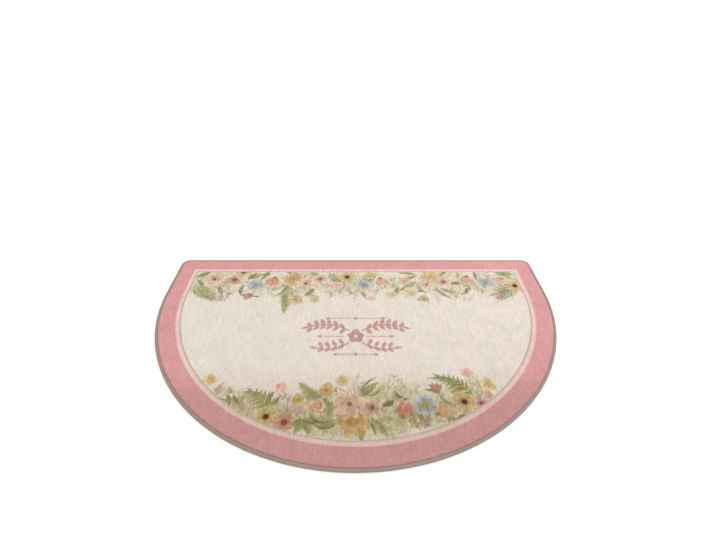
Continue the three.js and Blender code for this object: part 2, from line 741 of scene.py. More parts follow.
@dataclass(frozen=True)
class Fern:
    """A frond with rows of leaflets along both sides of a bowed rib."""

    x: float
    y: float
    length: float
    turn: float
    width: float = 6.0
    bow: float = 1.0
    pairs: int = 8
    light: Dye = Dye.FRESH_GREEN
    dark: Dye = Dye.LEAF_DARK
    spread: float = 58.0
    fullness: float = 0.24
    outer_share: float = 1.0
    follow: float = 1.0

    def paint(self, spots: Spots) -> None:
        """Prints the rib and the leaflets, which may be shorter on the outer side of its bow.

        Args:
            spots: the pile's spots, which take the colour.
        """
        tip = ahead((self.x, self.y), self.length, self.turn)
        path = bowed_path((self.x, self.y), tip, self.bow, self.pairs + 2)
        for i in range(1, self.pairs + 1):
            t = i / (self.pairs + 2)
            (x0, y0), (x1, y1) = path[i - 1], path[i + 1]
            along = math.degrees(math.atan2(y1 - y0, x1 - x0))
            along = self.turn + self.follow * ((along - self.turn + 180.0) % 360.0 - 180.0)
            reach = self.width / 2 * (1.15 - 0.92 * t**2) * min(1.0, 0.55 + 2.2 * t)
            for side in (-1, 1):
                turn = along + side * (self.spread - 18.0 * t)
                length = reach * (self.outer_share if side * self.bow > 0 else 1.0)
                breadth = max(self.fullness * length, 0.55)
                leaflet = Leaf(*path[i], length, turn, breadth, -0.10 * side * length, self.light, self.dark)
                leaflet.paint(spots)
        Stem(self.x, self.y, *tip, self.bow, 0.30, self.dark).paint(spots)
        Leaf(*path[-3], 0.18 * self.length, self.turn, 0.6, 0.0, self.light, self.dark).paint(spots)


@dataclass(frozen=True)
class Sprig:
    """A bowed stem with small leaves on alternate sides, and berries if wanted."""

    x: float
    y: float
    length: float
    turn: float
    bow: float = 0.8
    leaves: int = 5
    leaf_length: float = 1.8
    light: Dye = Dye.LEAF_MID
    dark: Dye = Dye.LEAF_DARK
    berry: Dye | None = None

    def paint(self, spots: Spots) -> None:
        """Prints the stem, its leaves and its berries.

        Args:
            spots: the pile's spots, which take the colour.
        """
        tip = ahead((self.x, self.y), self.length, self.turn)
        Stem(self.x, self.y, *tip, self.bow, 0.26, self.dark).paint(spots)
        path = bowed_path((self.x, self.y), tip, self.bow, self.leaves + 1)
        for i in range(1, self.leaves + 2):
            side = 1 if i % 2 else -1
            turn = self.turn + (0.0 if i > self.leaves else 48.0 * side)
            width = 0.44 * self.leaf_length
            Leaf(*path[i], self.leaf_length, turn, width, 0.0, self.light, self.dark).paint(spots)
            if self.berry is not None and i <= self.leaves:
                near, u, v = spots.around(*ahead(path[i], 0.9, self.turn - 55.0 * side), 1.0)
                spots.dye(near, inside(0.36 - np.hypot(u, v)), self.berry.rgb)


@dataclass(frozen=True)
class Wash:
    """A pale uneven tint behind the flowers."""

    x: float
    y: float
    reach_x: float
    reach_y: float
    turn: float = 0.0
    dye: Dye = Dye.WASH_GREEN
    strength: float = 0.8

    def paint(self, spots: Spots) -> None:
        """Tints the spots.

        Args:
            spots: the pile's spots, which take the colour.
        """
        near, u, v = spots.around(self.x, self.y, 1.3 * max(self.reach_x, self.reach_y), self.turn)
        angle = np.arctan2(v / self.reach_y, u / self.reach_x)
        r = np.hypot(u / self.reach_x, v / self.reach_y)
        rim = 1.0 + 0.10 * np.sin(5 * angle + self.x) + 0.07 * np.sin(9 * angle + self.y)
        spots.dye(near, self.strength * (1.0 - smooth(0.55, 1.2, r / rim)), self.dye.rgb)


@dataclass(frozen=True)
class Thicket:
    """A fill of fine blades and specks behind the flowers, scattered in a turned oval."""

    x: float
    y: float
    reach_x: float
    reach_y: float
    turn: float = 0.0
    blades: int = 60
    light: Dye = Dye.MIST_GREEN
    dark: Dye = Dye.LEAF_LIGHT
    fan: float = 90.0
    longest: float = 2.8

    def paint(self, spots: Spots) -> None:
        """Prints the blades, the same ones each time.

        Args:
            spots: the pile's spots, which take the colour.
        """
        chance = np.random.default_rng(SEED + int(31 * (self.x + 90) + 7 * (self.y + 60)))
        way = math.radians(self.turn)
        for _ in range(self.blades):
            angle = chance.uniform(0.0, math.tau)
            share = math.sqrt(chance.uniform(0.0, 1.0))
            u = self.reach_x * share * math.cos(angle)
            v = self.reach_y * share * math.sin(angle)
            x = self.x + u * math.cos(way) - v * math.sin(way)
            y = self.y + u * math.sin(way) + v * math.cos(way)
            length = chance.uniform(0.32, 1.0) * self.longest
            turn = self.fan + chance.normal(0.0, 46.0)
            tint = self.light if chance.uniform(0.0, 1.0) < 0.5 else self.dark
            strength = chance.uniform(0.25, 0.70)
            width = chance.uniform(0.12, 0.27) * self.longest
            Leaf(x, y, length, turn, width, 0.12 * length, tint, tint, strength).paint(spots)


@dataclass(frozen=True)
class StalkedBud:
    """A round flower head on a long bowed stem."""

    x: float
    y: float
    radius: float
    foot_x: float
    foot_y: float
    bow: float = 1.0

    def paint(self, spots: Spots) -> None:
        """Prints the stem and the head.

        Args:
            spots: the pile's spots, which take the colour.
        """
        Stem(self.x, self.y, self.foot_x, self.foot_y, self.bow, 0.26).paint(spots)
        Rosette(self.x, self.y, self.radius, Dye.ROSE_LIGHT, Dye.ROSE_DEEP, 0.16).paint(spots)


@dataclass(frozen=True)
class FloralPrint:
    """The whole print: cream ground, pink border, pale stripe, thin line, garlands and middle ornament, with
    painted shade round the curve's end and along the rim, and painted light at the back.
    """

    outline: HalfRound
    border: float = 7.45
    stripe: float = 1.45
    line: float = 0.50
    # width of the painted shade line along the rim
    groove_shade_width: float = 1.17
    curve_end: float = -31.0
    # painted shade on the garlands towards the front of the curve, and where it starts
    garland_painted_shade: tuple[float, float, float] = (0.87, 0.84, 0.78)
    garland_painted_shade_from: float = -10.0
    # where the painted shade on the border and stripe starts
    border_painted_shade_from: float = -12.0
    # painted light: how far pale dyes fade towards cream at the back, and over what span
    painted_back_light: float = 0.45
    painted_light_span: Point = (8.0, 24.0)
    blotches: float = 0.23
    blotch_size: Point = (0.6, 1.1)
    rows: float = 0.06
    row_size: Point = (0.44, 2.2)

    def colours(self, x: Array, y: Array) -> Array:
        """The print's colour at places on the rug.

        Args:
            x: places along the straight edge, in metres.
            y: places across it, in metres.

        Returns:
            A row of linear red, green and blue for each place.
        """
        order = np.argsort(x, kind="stable")
        ground = np.tile(Dye.CREAM.rgb, (len(x), 1))
        spots = Spots(x[order] / CM, y[order] / CM, ground)
        for figure in (*self.lower_garland(), *self.upper_garland()):
            figure.paint(spots)
        self.blotch_garlands_and_paint_light(spots)
        self.paint_ornament(spots)
        self.paint_bands(spots)
        rows = lattice_noise(spots.x, spots.y, *self.row_size, np.random.default_rng(SEED))
        spots.rgb *= 1.0 + self.rows * rows[:, None]
        colours = np.empty_like(ground)
        colours[order] = spots.rgb
        return colours

    def blotch_garlands_and_paint_light(self, spots: Spots) -> None:
        """Makes the dyes take unevenly, lays painted shade over the garlands round the curve's end, and
        painted light that makes pale dyes paler at the back.

        Args:
            spots: the pile's spots, which take the colour.
        """
        dyed = smooth(0.02, 0.16, (Dye.CREAM.rgb - spots.rgb)[:, 2])
        blotches = lattice_noise(spots.x, spots.y, *self.blotch_size, np.random.default_rng(SEED + 1))
        spots.rgb *= 1.0 + self.blotches * (dyed * blotches)[:, None]
        # painted shade: the whole garland print darkens towards the front of the curve
        end = smooth(self.garland_painted_shade_from, self.curve_end, spots.y)[:, None]
        spots.rgb *= 1.0 + end * (np.array(self.garland_painted_shade) - 1.0)
        # painted light: pale dyes fade towards cream at the back, where the light is stronger
        paleness = spots.rgb[:, 1] / Dye.CREAM.rgb[1]
        painted_light = self.painted_back_light * smooth(*self.painted_light_span, spots.y) * paleness**2
        spots.dye(np.arange(len(painted_light)), painted_light, Dye.CREAM.rgb)

    def paint_bands(self, spots: Spots) -> None:
        """Prints the border, stripe and thin line over the garlands, with painted shade that darkens the
        border and stripe round the curve's end, and a painted shade line along the rim's groove.

        Args:
            spots: the pile's spots, which take the colour.
        """
        inset = self.outline.inset_of(spots.x * CM, spots.y * CM) / CM
        every = np.arange(len(inset))
        spots.dye(every, inside(self.border + self.stripe + self.line - inset), Dye.LINE_TAUPE.rgb)
        # painted shade: the border and stripe darken towards the front of the curve
        end = smooth(self.border_painted_shade_from, self.curve_end, spots.y)
        stripe = mixed(Dye.PALE_PINK, Dye.PALE_PINK_IN_PAINTED_SHADE, end)
        spots.dye(every, inside(self.border + self.stripe - inset), stripe)
        spots.dye(every, inside(self.border - inset), mixed(Dye.DUSTY_PINK, Dye.PINK_IN_PAINTED_SHADE, end))
        # painted shade: a dark brown line at the rim, where the groove between pile and roll lies
        spots.dye(every, inside(self.groove_shade_width - inset), Dye.GROOVE_PAINTED_SHADE.rgb)

    def lower_garland(self) -> Iterator[Any]:
        """The garland along the curve, back to front."""
        yield Wash(-41.0, -25.5, 7.0, 3.6, -32.0, Dye.WASH_PALE)
        yield Wash(-30.0, -30.5, 12.0, 6.0, -24.0)
        yield Wash(-8.0, -32.5, 17.0, 9.0, -4.0)
        yield Wash(10.0, -29.5, 16.0, 10.5, 8.0)
        yield Wash(31.0, -27.5, 14.0, 6.6, 26.0)
        yield Wash(41.0, -22.5, 6.0, 6.4, 30.0, Dye.WASH_PALE)
        yield Thicket(-33.0, -29.5, 9.0, 3.4, -28.0, 60)
        yield Thicket(-22.5, -29.5, 5.0, 5.0, 0.0, 60)
        yield Thicket(-8.0, -34.5, 13.0, 5.0, -4.0, 130)
        yield Thicket(12.0, -22.5, 5.0, 5.4, 0.0, 110)
        yield Thicket(11.0, -35.2, 8.0, 4.6, 6.0, 90)
        yield Thicket(26.0, -31.5, 8.0, 3.0, 26.0, 60)
        yield Thicket(39.5, -22.0, 3.0, 4.4, 10.0, 50)
        for x, y, reach_x, reach_y, blades in (
            (-36.0, -27.6, 5.0, 2.4, 16), (-22.0, -30.5, 6.0, 4.6, 34), (-7.0, -33.0, 11.0, 5.4, 60),
            (8.0, -31.5, 8.0, 6.4, 50), (20.0, -32.5, 7.0, 3.6, 30), (31.0, -30.0, 7.0, 3.0, 26),
        ):
            yield Thicket(x, y, reach_x, reach_y, 0.0, blades, Dye.LEAF_LIGHT, Dye.LEAF_MID, longest=4.4)
        yield Thicket(-36.4, -30.0, 2.6, 1.5, -30.0, 24, Dye.CORAL, Dye.PEACH)
        yield Thicket(19.5, -35.0, 3.4, 2.6, 10.0, 40, Dye.BERRY, Dye.LEAF_MID)
        for row in (
            (-26.2, -33.0, 15.2, 142.0, 10.4, -4.4, 8, Dye.FRESH_GREEN, Dye.LEAF_MID, 60.0, 0.28, 0.45, 0.3),
            (38.6, -26.0, 16.2, 150.0, 10.8, -3.8, 8, Dye.FRESH_GREEN, Dye.LEAF_DARK, 58.0, 0.29, 0.45, 0.3),
            (-5.5, -32.5, 18.2, 136.0, 9.6, 0.6, 16, Dye.LEAF_LIGHT, Dye.LEAF_MID, 46.0, 0.24),
            (5.0, -33.0, 8.0, -54.0, 3.4, 0.6, 8, Dye.STRAW_LIGHT, Dye.LEAF_DARK),
        ):
            yield Fern(*row)
        for *row, tones in (
            (-40.4, -29.0, 5.8, 116.0, 1.4, -0.7, Tones.OLIVE),
            (-37.2, -28.6, 5.4, 122.0, 1.7, 0.6, Tones.WILLOW),
            (-40.6, -27.2, 4.4, 158.0, 1.1, 0.2, Tones.LIGHT),
            (-29.0, -29.0, 6.6, 66.0, 1.6, 0.7, Tones.WILLOW),
            (-27.4, -28.5, 5.4, 98.0, 1.4, 0.4, Tones.SAGE),
            (-26.0, -28.6, 4.6, 64.0, 1.1, 0.3, Tones.SAGE),
            (-16.5, -33.6, 5.6, -64.0, 2.8, 0.3, Tones.SPRING),
            (-16.5, -33.6, 5.2, -22.0, 2.2, 0.4, Tones.OLIVE),
            (-16.7, -33.6, 5.4, -112.0, 2.6, 0.2, Tones.SPRING),
            (-16.7, -33.4, 4.2, -150.0, 1.7, 0.3, Tones.SAGE),
            (-14.8, -31.4, 9.2, -12.0, 2.0, -1.8, Tones.WILLOW),
            (-12.8, -35.8, 8.6, 16.0, 1.8, -1.3, Tones.OLIVE),
            (1.6, -25.4, 8.4, 44.0, 2.6, 0.3, Tones.SPRING),
            (4.0, -25.0, 5.6, 40.0, 1.2, -0.8, Tones.WILLOW),
            (1.6, -24.4, 9.2, 50.0, 0.9, 1.3, Tones.OLIVE), (3.4, -33.4, 6.4, -66.0, 1.2, 0.7, Tones.SAGE),
            (1.4, -35.0, 6.2, -88.0, 2.6, 0.2, Tones.FRESH),
            (12.4, -26.8, 4.6, 206.0, 2.1, 0.3, Tones.DARK),
            (14.6, -25.4, 3.4, 122.0, 0.8, 0.4, Tones.DARK), (13.4, -25.6, 1.9, 10.0, 1.3, 0.0, Tones.DARK),
            (15.2, -26.6, 2.2, 14.0, 0.9, 0.2, Tones.DARK),
            (31.8, -33.6, 4.4, 160.0, 1.5, 0.4, Tones.SPRING),
            (31.4, -33.8, 3.6, 32.0, 1.2, 0.3, Tones.OLIVE),
            (29.0, -34.6, 3.2, 100.0, 1.2, 0.2, Tones.LIGHT),
            (25.8, -22.6, 3.2, 176.0, 0.9, 0.3, Tones.OLIVE),
            (26.0, -21.6, 2.8, 148.0, 0.7, 0.2, Tones.LIGHT),
            (21.0, -34.0, 3.6, 96.0, 1.0, 0.3, Tones.OLIVE),
        ):
            yield Leaf(*row, *tones.value)
        for row in (
            (-16.0, -34.0, -14.5, -29.5, 0.6), (-22.0, -33.0, -18.8, -27.0, -0.8),
            (12.0, -27.0, 15.0, -25.6, 0.2), (27.0, -23.0, 31.4, -28.5, -1.0, 0.5),
            (18.6, -31.0, 19.6, -36.0, 0.8), (44.0, -21.0, 42.8, -25.5, 0.4),
        ):
            yield Stem(*row)
        for row in (
            (19.8, -37.0, 4.6, 112.0, 0.5, 5, 1.2, Dye.LEAF_MID, Dye.LEAF_GREY, Dye.GOLD),
            (20.8, -36.6, 4.4, 62.0, -0.5, 4, 1.2, Dye.LEAF_MID, Dye.LEAF_DARK, Dye.BERRY),
            (-4.6, -25.0, 4.4, 158.0, -0.8, 3, 1.6, Dye.LEAF_GREY, Dye.LEAF_DARK),
            (-3.6, -23.4, 5.4, 170.0, -0.9, 3, 0.9, Dye.LEAF_LIGHT, Dye.LEAF_GREY),
            (-0.4, -23.6, 7.0, 80.0, 0.5, 5, 1.1, Dye.MAUVE, Dye.MAUVE_DEEP, Dye.MAUVE),
            (0.2, -23.6, 4.4, 58.0, -0.4, 4, 1.1, Dye.ROSE, Dye.MAUVE_DEEP, Dye.MAUVE_DEEP),
            (-46.4, -24.2, 4.0, 64.0, 0.4, 3, 1.2, Dye.LEAF_LIGHT, Dye.LEAF_GREY, Dye.ROSE),
        ):
            yield Sprig(*row)
        yield Cup(26.6, -21.8, 1.9, 76.0, Dye.BERRY, Dye.UMBER)
        yield StalkedBud(-24.8, -21.8, 2.3, -21.6, -31.0, 0.9)
        yield StalkedBud(38.0, -15.6, 2.3, 41.4, -24.0, 1.1)
        yield Flower(-1.0, -33.8, 5.8, Bloom.MARIGOLD, 24.0)
        yield Flower(-1.0, -33.4, 4.2, Bloom.MARIGOLD, 10.0)
        yield Rosette(-12.6, -28.8, 3.1, Dye.PEACH_LIGHT, Dye.CORAL_DEEP)
        yield Cup(15.8, -30.2, 2.9, 64.0)
        yield Cup(28.2, -30.8, 2.6, 20.0, Dye.PEACH, Dye.CORAL)
        for row in (
            (-49.2, -18.6, 2.7, Bloom.BUTTERCUP, 12.0), (-45.2, -22.8, 1.8, Bloom.VIOLET, 20.0),
            (-33.0, -32.4, 1.7, Bloom.VIOLET, 50.0), (-18.6, -26.4, 2.3, Bloom.PRIMROSE, 40.0),
            (-28.0, -32.6, 4.1, Bloom.DAISY, 8.0), (-22.0, -34.6, 3.4, Bloom.WILD_ROSE, 30.0),
            (-18.4, -30.6, 2.2, Bloom.VIOLET, 10.0), (-9.6, -22.8, 3.1, Bloom.PRIMROSE, 15.0),
            (-4.4, -18.8, 2.6, Bloom.BUTTERCUP, 30.0), (-1.9, -28.2, 5.9, Bloom.LILY, 12.0),
            (-1.9, -28.2, 4.4, Bloom.LILY, 34.0), (-41.6, -23.0, 1.6, Bloom.VIOLET, 40.0),
            (5.2, -29.4, 3.3, Bloom.BRIAR, 20.0), (22.2, -28.4, 3.9, Bloom.ANEMONE, 12.0),
            (34.9, -27.2, 4.2, Bloom.DAISY, 22.0), (40.2, -27.6, 2.4, Bloom.STAR, 40.0),
            (43.2, -24.6, 1.8, Bloom.VIOLET, 5.0), (44.4, -20.4, 2.5, Bloom.BUTTERCUP, 20.0),
        ):
            yield Flower(*row)

    def upper_garland(self) -> Iterator[Any]:
        """The garland along the straight edge, back to front."""
        washes = (Dye.WASH_GREEN, Dye.WASH_PALE, Dye.WASH_GOLD) * 3
        for x, dye in zip((-61, -42, -22, -2, 20, 40, 61), washes):
            yield Wash(x, 33.0, 12.5, 9.5, 0.0, dye, 0.75)
        for x in range(-66, 67, 11):
            yield Thicket(x, 33.0, 6.0, 8.0, 0.0, 80, fan=-90.0)
            blades = 36 if x < 0 else 20
            yield Thicket(x, 33.0, 6.5, 7.5, 0.0, blades, Dye.LEAF_LIGHT, Dye.LEAF_MID, -90.0, 4.6)
        yield Thicket(44.0, 26.0, 4.6, 5.0, 0.0, 60, fan=-90.0)
        for row in (
            (-70.5, 28.4, 15.4, -30.0, 9.6, 1.6, 8, Dye.FRESH_GREEN, Dye.LEAF_MID, 58.0, 0.29),
            (71.0, 29.0, 15.0, -146.0, 10.4, -2.8, 8, Dye.LEAF_LIGHT, Dye.LEAF_DARK, 60.0, 0.28),
            (61.0, 41.0, 9.5, -16.0, 6.0, 0.8, 8),
            (-29.2, 32.0, 17.6, -89.0, 9.6, 0.4, 15, Dye.LEAF_LIGHT, Dye.LEAF_MID, 46.0, 0.24),
            (-12.0, 40.0, 14.0, -62.0, 7.4, 1.2, 8), (9.0, 40.0, 13.0, -118.0, 7.0, -1.0, 8),
        ):
            yield Fern(*row)
        for *row, tones in (
            (-70.0, 37.0, 6.4, 34.0, 2.6, 0.4, Tones.OLIVE),
            (-69.0, 35.0, 6.6, -58.0, 1.6, 0.5, Tones.OLIVE),
            (-58.6, 30.5, 5.0, -76.0, 1.8, 0.4, Tones.OLIVE),
            (-47.0, 35.6, 7.8, 28.0, 2.8, 0.6, Tones.LIGHT),
            (-47.2, 35.0, 6.4, 56.0, 2.0, 0.4, Tones.OLIVE),
            (-38.6, 41.0, 6.4, -118.0, 2.2, 0.4, Tones.MOSS),
            (-29.0, 31.6, 9.6, -128.0, 1.7, 1.7, Tones.WILLOW),
            (-48.6, 31.0, 6.6, -84.0, 1.7, -0.5, Tones.OLIVE),
            (-31.0, 40.6, 5.4, -20.0, 2.4, 0.3, Tones.LIGHT),
            (-18.0, 29.0, 6.0, -128.0, 2.0, 0.6, Tones.OLIVE),
            (-20.5, 40.5, 6.0, -32.0, 2.4, 0.5, Tones.LIGHT),
            (19.0, 39.8, 8.6, -12.0, 1.6, 1.0, Tones.WILLOW),
            (27.2, 38.4, 8.8, -162.0, 1.5, 0.9, Tones.OLIVE),
            (25.6, 33.6, 9.4, -142.0, 2.8, 0.6, Tones.SPRING),
            (18.4, 30.4, 6.8, -112.0, 2.2, 0.4, Tones.WILLOW),
            (29.0, 28.0, 3.2, -170.0, 1.4, 0.2, Tones.DUSK),
            (40.6, 40.8, 6.0, -150.0, 2.0, 0.4, Tones.WILLOW),
            (34.4, 29.6, 9.6, -48.0, 1.7, -0.9, Tones.WILLOW),
            (36.0, 29.8, 7.2, -30.0, 1.2, -0.6, Tones.SAGE), (41.2, 32.4, 4.6, 4.0, 2.0, 0.2, Tones.DUSK),
            (52.6, 40.8, 6.2, -92.0, 1.6, 0.5, Tones.OLIVE),
            (47.4, 29.8, 4.4, -110.0, 1.3, 0.4, Tones.OLIVE),
            (45.2, 40.6, 4.6, -96.0, 1.1, 0.3, Tones.SPRING),
            (62.6, 39.4, 6.4, -10.0, 2.6, 0.4, Tones.SPRING),
            (60.2, 26.0, 4.4, -164.0, 1.0, 0.2, Tones.GREY),
            (-43.4, 24.2, 3.6, -12.0, 1.1, 0.3, Tones.GREY), (2.0, 27.6, 5.6, -66.0, 1.8, 0.4, Tones.LIGHT),
        ):
            yield Leaf(*row, *tones.value)
        yield Stem(59.0, 25.8, 65.6, 32.6, -1.4, 0.5)
        yield Stem(-55.6, 21.6, -58.0, 30.0, -0.6)
        for row in (
            (48.6, 31.0, 5.8, -124.0, 0.7, 3, 1.6, Dye.LEAF_MID, Dye.LEAF_GREY),
            (33.0, 26.6, 6.8, -82.0, 0.4, 5, 1.2, Dye.MAUVE, Dye.MAUVE_DEEP, Dye.MAUVE),
            (-0.5, 28.0, 7.0, -92.0, 0.4, 5, 1.2, Dye.MAUVE, Dye.MAUVE_DEEP, Dye.MAUVE),
            (-20.6, 27.0, 5.4, -56.0, 0.5, 4, 1.5, Dye.LEAF_MID, Dye.LEAF_GREY, Dye.GOLD),
            (-55.0, 27.5, 6.0, -78.0, 0.6, 4, 1.4, Dye.MAUVE, Dye.LEAF_GREY, Dye.ROSE),
        ):
            yield Sprig(*row)
        yield StalkedBud(6.4, 23.0, 2.2, 9.4, 30.4, -0.9)
        for row in (
            (-45.2, 24.2, 2.1, -150.0, Dye.ROSE_DEEP, Dye.UMBER),
            (60.0, 25.2, 1.9, -132.0, Dye.ROSE, Dye.ROSE_DEEP),
            (-36.2, 33.8, 3.1, -104.0), (11.6, 33.6, 3.0, -70.0, Dye.PEACH, Dye.CORAL),
            (48.6, 34.6, 3.0, -98.0, Dye.PEACH, Dye.BERRY), (62.2, 34.6, 2.4, -150.0, Dye.ROSE, Dye.CORAL),
        ):
            yield Cup(*row)
        yield Rosette(-8.6, 31.0, 3.3)
        yield Rosette(21.2, 34.0, 3.0, Dye.PEACH_LIGHT, Dye.CORAL_DEEP)
        for row in (
            (-62.0, 35.6, 5.2, Bloom.LILY, 20.0), (-56.4, 23.0, 2.2, Bloom.VIOLET, 14.0),
            (-53.0, 35.2, 3.5, Bloom.WILD_ROSE, 12.0), (-50.2, 40.6, 4.2, Bloom.DAISY, 12.0),
            (-42.8, 31.4, 4.4, Bloom.CORNFLOWER, 24.0), (-27.2, 35.8, 4.9, Bloom.MARIGOLD, 14.0),
            (-21.6, 32.6, 4.6, Bloom.LILY, 8.0), (-24.8, 22.0, 3.3, Bloom.PRIMROSE, 22.0),
            (-16.8, 22.4, 2.5, Bloom.BUTTERCUP, 8.0), (-15.4, 35.6, 3.7, Bloom.BRIAR, 40.0),
            (-3.8, 37.0, 4.4, Bloom.DAISY, 4.0), (3.4, 31.6, 3.9, Bloom.CORNFLOWER, 30.0),
            (6.0, 38.2, 2.9, Bloom.PRIMROSE, 12.0), (14.6, 25.2, 2.4, Bloom.BUTTERCUP, 26.0),
            (23.0, 26.6, 3.2, Bloom.BUTTERCUP, 40.0), (28.2, 22.6, 2.6, Bloom.PRIMROSE, 12.0),
            (33.0, 37.4, 5.4, Bloom.OXEYE, 30.0), (30.4, 31.8, 2.9, Bloom.LILY, 12.0),
            (38.2, 33.6, 3.5, Bloom.BRIAR, 5.0), (56.2, 33.0, 4.6, Bloom.CORNFLOWER, 6.0),
            (68.4, 31.0, 4.2, Bloom.DAISY, 18.0),
        ):
            yield Flower(*row)

    def paint_ornament(self, spots: Spots) -> None:
        """Prints the rose-coloured ornament in the middle, its right half mirrored from its left.

        Args:
            spots: the pile's spots, which take the colour.
        """
        near, u, v = spots.around(0.0, 0.0, 24.0)
        folded = -np.abs(u)
        order = np.argsort(folded, kind="stable")
        half = Spots(folded[order], v[order], spots.rgb[near[order]])
        for figure in self.ornament():
            figure.paint(half)
        spots.rgb[near[order]] = half.rgb

    def ornament(self) -> Iterator[Any]:
        """The ornament's left half: two leafy scrolls, short rules with leaf ends, and a blossom."""
        ink = Dye.ORNAMENT_ROSE
        for row in (
            (-2.6, 4.4, -18.6, 6.2, -2.2, 0.70), (-2.6, -1.8, -14.4, -4.4, 1.6, 0.70),
            (-4.4, 1.4, -12.0, 1.4, 0.0, 0.44), (-1.6, 11.0, -9.6, 11.0, 0.0, 0.44),
            (-1.2, -7.4, -6.2, -7.4, 0.0, 0.44),
        ):
            yield Stem(*row, ink)
        for count, x, y, step, rise, length in (
            (6, -4.4, 5.4, -2.5, 0.14, 3.3), (4, -4.6, -2.4, -2.5, -0.50, 3.0),
        ):
            for i in range(count):
                sag = 0.34 * i * (count - 1 - i)
                for lean in (118.0, 236.0):
                    lift = sag if y > 0 else -0.7 * sag
                    yield Leaf(x + step * i, y + rise * i + lift, length, lean, 0.52 * length, 0.2, ink, ink)
        for row in (
            (-18.2, 6.2, 3.0, 196.0), (-14.2, -4.3, 2.8, 172.0), (-12.4, 1.4, 2.2, 180.0),
            (-9.8, 11.0, 2.0, 180.0), (-6.4, -7.4, 1.8, 180.0),
        ):
            yield Leaf(*row, 1.2, 0.0, ink, ink)
        yield Leaf(-0.9, 11.0, 1.8, 0.0, 1.7, 0.0, ink, ink)
        yield Leaf(-0.8, -7.4, 1.6, 0.0, 1.4, 0.0, ink, ink)
        yield Flower(0.0, 1.4, 3.4, Bloom.STAMPED, 90.0)


# Finishes

class NodeBench:
    """The shader nodes of one material, added and joined in short lines."""

    def __init__(self, name: str) -> None:
        """Starts a material that holds only its output and a shader.

        Args:
            name: the material's name.
        """
        self.material = bpy.data.materials.new(name)
        self.material.use_nodes = True
        self.tree = self.material.node_tree
        self.shader = self.tree.nodes["Principled BSDF"]

    def add(self, kind: str, inputs: dict[str | int, Any] | None = None, **settings: Any) -> bpy.types.Node:
        """Adds a node.

        Args:
            kind: Blender's name for the kind of node.
            inputs: values or sockets for its inputs, by name or number.
            settings: values for its own properties.

        Returns:
            The new node.
        """
        node = self.tree.nodes.new(kind)
        for name, value in settings.items():
            setattr(node, name, value)
        for name, value in (inputs or {}).items():
            self.feed(node.inputs[name], value)
        return node

    def feed(self, socket: bpy.types.NodeSocket, value: Any) -> None:
        """Gives an input a value, or joins it to another node's output.

        Args:
            socket: the input.
            value: a plain value, or an output to join it to.
        """
        if isinstance(value, bpy.types.NodeSocket):
            self.tree.links.new(value, socket)
        else:
            socket.default_value = value

    def surface(self, **values: Any) -> None:
        """Sets the shader's own inputs, whose spaces are written as underscores."""
        for name, value in values.items():
            self.feed(self.shader.inputs[name.replace("_", " ")], value)

    def place(self, scale: tuple[float, float, float]) -> bpy.types.NodeSocket:
        """The piece's own coordinates, with so many repeats to the metre along each axis.

        Args:
            scale: repeats to the metre along each axis.

        Returns:
            The socket that gives them.
        """
        coordinates = self.add("ShaderNodeTexCoord")
        mapping = self.add("ShaderNodeMapping", {"Vector": coordinates.outputs["Object"], "Scale": scale})
        return mapping.outputs["Vector"]

    def noise(self, scale: tuple[float, float, float], low: float, high: float,
              detail: float = 3.0) -> bpy.types.NodeSocket:
        """Soft noise between two values.

        Args:
            scale: repeats to the metre along each axis.
            low: the value where the noise is low.
            high: the value where it is high.
            detail: finer layers in the noise.

        Returns:
            The socket that gives the value.
        """
        cloud = self.add("ShaderNodeTexNoise", {"Vector": self.place(scale), "Scale": 1.0, "Detail": detail})
        return self.between(cloud.outputs["Fac"], 0.30, 0.70, low, high)

    def between(self, value: bpy.types.NodeSocket, start: float, end: float, low: float,
                high: float) -> bpy.types.NodeSocket:
        """Maps a value from one span to another.

        Args:
            value: the socket to map.
            start: the value that gives low.
            end: the value that gives high.
            low: the first mapped value.
            high: the last mapped value.

        Returns:
            The mapped socket.
        """
        spans = {"Value": value, "From Min": start, "From Max": end, "To Min": low, "To Max": high}
        return self.add("ShaderNodeMapRange", spans).outputs["Result"]

    def product(self, *values: bpy.types.NodeSocket) -> bpy.types.NodeSocket:
        """The product of several values.

        Args:
            values: the sockets to multiply.

        Returns:
            The socket that gives it.
        """
        result = values[0]
        for value in values[1:]:
            result = self.add("ShaderNodeMath", {0: result, 1: value}, operation="MULTIPLY").outputs[0]
        return result

    def scaled(self, colour: Any, factor: bpy.types.NodeSocket) -> bpy.types.NodeSocket:
        """A colour made lighter or darker by a factor."""
        return self.add("ShaderNodeVectorMath", {0: colour, "Scale": factor}, operation="SCALE").outputs[0]

    def layer(self, name: str, output: str) -> bpy.types.NodeSocket:
        """What a piece's own layer of numbers or colours holds."""
        return self.add("ShaderNodeAttribute", attribute_name=name).outputs[output]

    def bump(self, height: bpy.types.NodeSocket, strength: float, distance: float) -> None:
        """Raises the surface by a height.

        Args:
            height: the socket that gives the height.
            strength: how much of it shows.
            distance: the height in metres.
        """
        node = self.add("ShaderNodeBump", {"Height": height, "Strength": strength, "Distance": distance})
        self.surface(Normal=node.outputs["Normal"])


